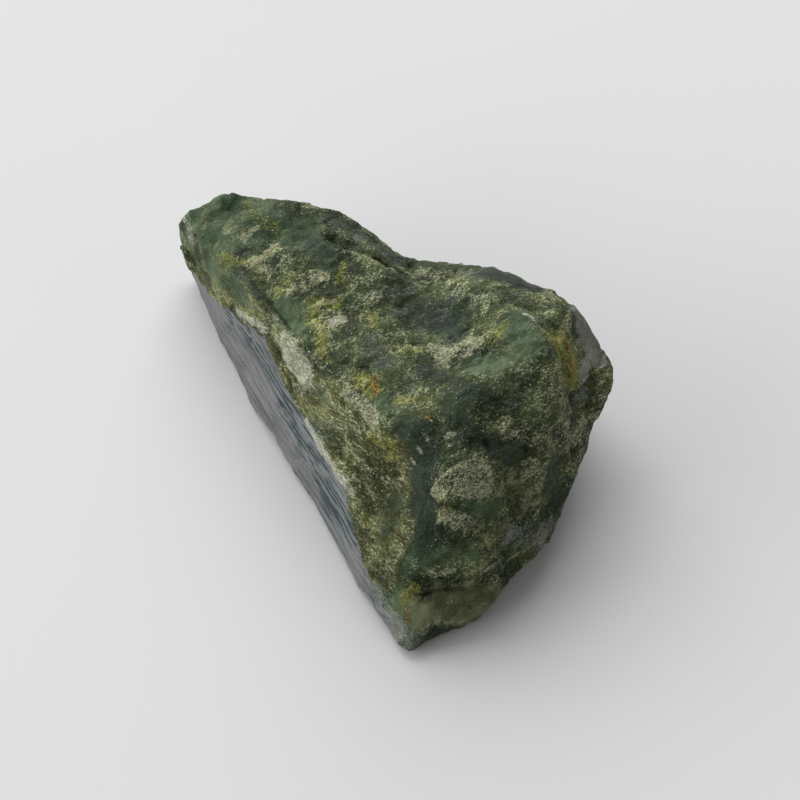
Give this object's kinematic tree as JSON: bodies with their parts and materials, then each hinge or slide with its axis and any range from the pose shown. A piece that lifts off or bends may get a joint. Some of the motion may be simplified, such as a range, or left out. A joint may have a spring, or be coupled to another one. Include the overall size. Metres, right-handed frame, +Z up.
{
  "type": "rough sapphire",
  "caption": "Rough green gemstone: a wedge-shaped broken lump with a smooth flat side, a hollow between its lobes and a pointed end, lying on a flat underside.",
  "frame": {"origin": "on the resting plane, under the middle of the stone's bounding box", "axes": "+Z up from the resting plane; +Y from the pointed end towards the far lobe, along the stone's length; +X to the right, away from the smooth side"},
  "size_m": [0.0444, 0.0486, 0.0183],
  "materials": {
    "stone": "rough broken stone, waxy green with olive and chalky weathered patches, one smooth blue-grey side"
  },
  "bodies": {
    "root": {"stone": "stone"}
  },
  "joints": []
}
